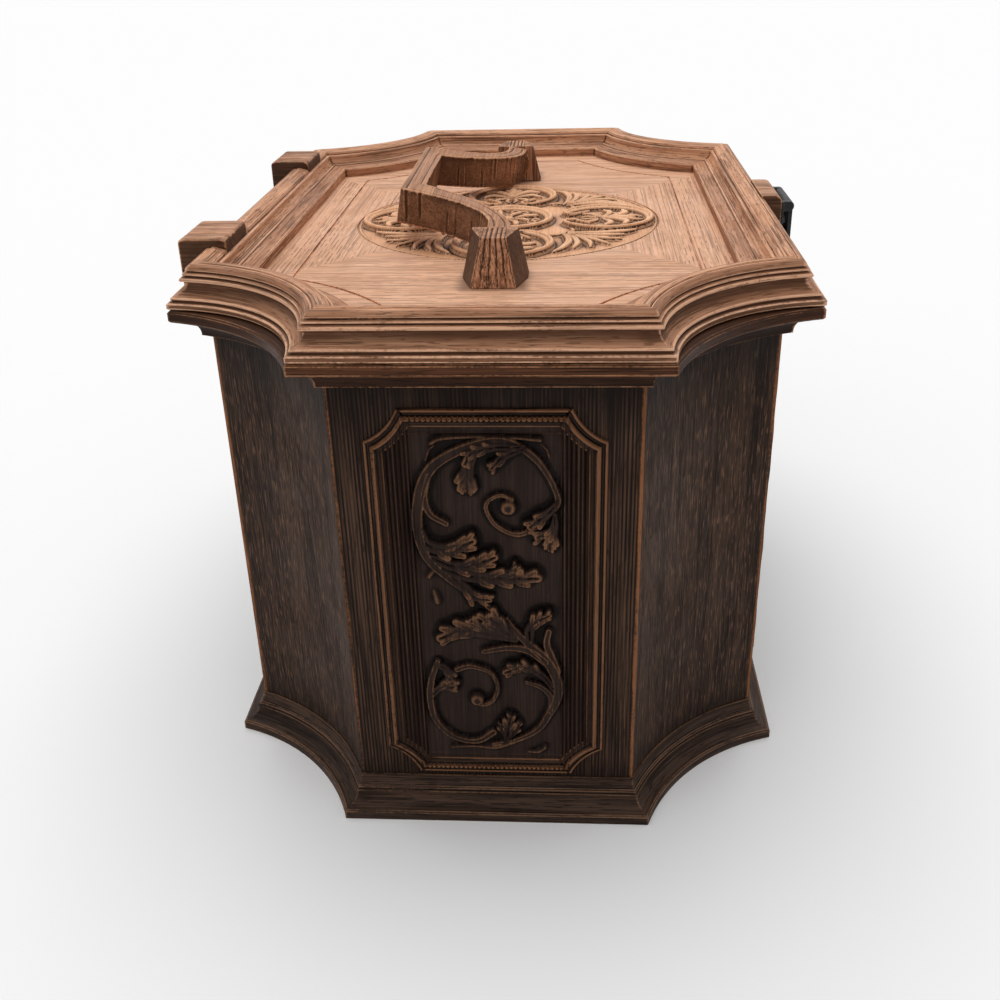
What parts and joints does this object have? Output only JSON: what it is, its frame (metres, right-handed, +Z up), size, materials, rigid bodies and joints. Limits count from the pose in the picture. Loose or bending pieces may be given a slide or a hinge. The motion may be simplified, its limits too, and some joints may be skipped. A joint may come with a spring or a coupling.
{
  "type": "sewing box",
  "caption": "Carved rectangular sewing box with hollow corners, framed panels, a hinged lid with a bail handle, a side latch and a lift-out tray with thread pegs.",
  "frame": {"origin": "centre of the foot, on the surface the box stands on", "axes": "+X from the hinges to the latch, +Y from the front end to the rear end, +Z up"},
  "size_m": [0.2499, 0.358, 0.2233],
  "materials": {
    "case_wood": "dark glazed open-pore finish",
    "frame_wood": "dark glaze with worn edges",
    "carved_wood": "carved relief, dark glaze in the hollows",
    "lid_wood": "lighter glaze with worn edges",
    "handle_wood": "carved, worn along the edges",
    "inner_wood": "satin",
    "lining": "padded cloth",
    "black_metal": "black, slightly worn",
    "steel": "dull"
  },
  "bodies": {
    "case": {"foot_moulding": "case_wood", "bottom_board": "inner_wood", "case_shell": "case_wood", "rim_moulding": "case_wood", "front_frame": "frame_wood", "rear_frame": "frame_wood", "hinge_side_frame": "frame_wood", "latch_side_frame": "frame_wood", "front_carving": "carved_wood", "rear_carving": "carved_wood", "hinge_side_carving": "carved_wood", "latch_side_carving": "carved_wood", "tray_ledges": "inner_wood", "front_hinge_bracket": "black_metal", "rear_hinge_bracket": "black_metal", "hinge_pins": "steel", "hinge_screws": "steel", "latch_keeper": "black_metal", "keeper_screws": "black_metal"},
    "lid": {"lid_frame": "lid_wood", "lid_panel": "lid_wood", "lid_roundel": "lid_wood", "lid_lining": "lining", "front_post": "lid_wood", "rear_post": "lid_wood", "handle_pins": "steel", "post_screws": "steel", "front_hinge_block": "lid_wood", "rear_hinge_block": "lid_wood", "latch_block": "lid_wood", "latch_plate": "black_metal", "hasp_pin": "black_metal", "latch_screws": "black_metal"},
    "handle": {"handle": "handle_wood"},
    "hasp": {"hasp": "black_metal"},
    "tray": {"tray": "inner_wood", "tray_dividers": "inner_wood", "thread_pegs": "inner_wood"}
  },
  "joints": [
    {"name": "lid_hinge", "type": "hinge", "parent": "case", "child": "lid", "pos_m": [-0.119, 0, 0.192], "axis": [0, -1, 0], "range_deg": [0, 100]},
    {"name": "handle_swing", "type": "hinge", "parent": "lid", "child": "handle", "pos_m": [0, 0, 0.2082], "axis": [0, 1, 0], "range_deg": [-9, 168]},
    {"name": "hasp_swing", "type": "hinge", "parent": "lid", "child": "hasp", "pos_m": [0.1235, 0, 0.2065], "axis": [0, -1, 0], "range_deg": [0, 150]},
    {"name": "tray_lift", "type": "slide", "parent": "case", "child": "tray", "axis": [0, 0, 1], "range_m": [0, 0.01]}
  ]
}
